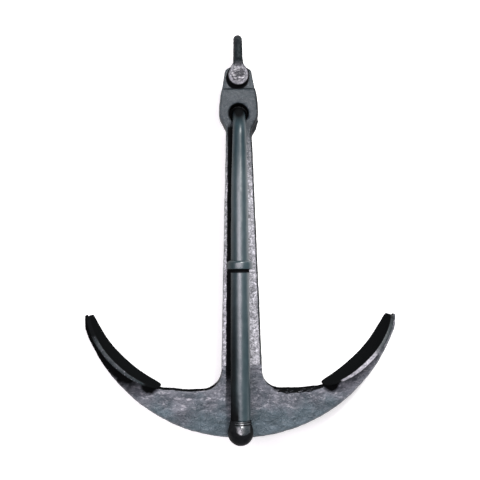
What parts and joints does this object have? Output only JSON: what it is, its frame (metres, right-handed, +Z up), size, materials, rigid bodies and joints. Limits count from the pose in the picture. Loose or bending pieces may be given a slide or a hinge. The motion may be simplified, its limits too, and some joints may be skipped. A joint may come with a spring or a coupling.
{
  "type": "admiralty pattern anchor",
  "caption": "Stock anchor with two curved arms, welded palms, a riveted shackle and a ball-ended stock folded along its shank, lying on its back.",
  "frame": {"origin": "under the middle of the anchor's length and width, on the surface that it lies on", "axes": "+X across the arms to the right, +Y along the shank from the crown to the shackle, +Z up, out of the anchor's front, which the folded stock lies on"},
  "size_m": [0.814, 1.071, 0.1845],
  "materials": {
    "forged_body": "dark slate marine paint over a rough forged surface, semi-gloss",
    "palm_plate": "black bitumen paint over rolled plate, semi-gloss",
    "shackle_bar": "black bitumen paint over round bar",
    "pin_steel": "thin worn paint over a hammered rivet head",
    "stock_bar": "smooth dark slate paint over round bar, glossy"
  },
  "bodies": {
    "anchor": {"crown_and_arms": "forged_body", "palm_left": "palm_plate", "palm_right": "palm_plate", "shank": "forged_body"},
    "shackle": {"shackle_bow": "shackle_bar", "shackle_pin": "pin_steel"},
    "stock": {"stock_bar": "stock_bar", "stock_collar": "stock_bar", "stock_ball_front": "stock_bar", "stock_ball_rear": "stock_bar"}
  },
  "joints": [
    {"name": "shackle_swing", "type": "hinge", "parent": "anchor", "child": "shackle", "pos_m": [0, 0.4245, 0.088], "axis": [0, 0, 1], "range_deg": [-105, 105]},
    {"name": "stock_fold", "type": "hinge", "parent": "anchor", "child": "stock", "pos_m": [-0.0005, 0.26, 0.088], "axis": [-1, 0.0079, 0], "range_deg": [0, 90]}
  ]
}
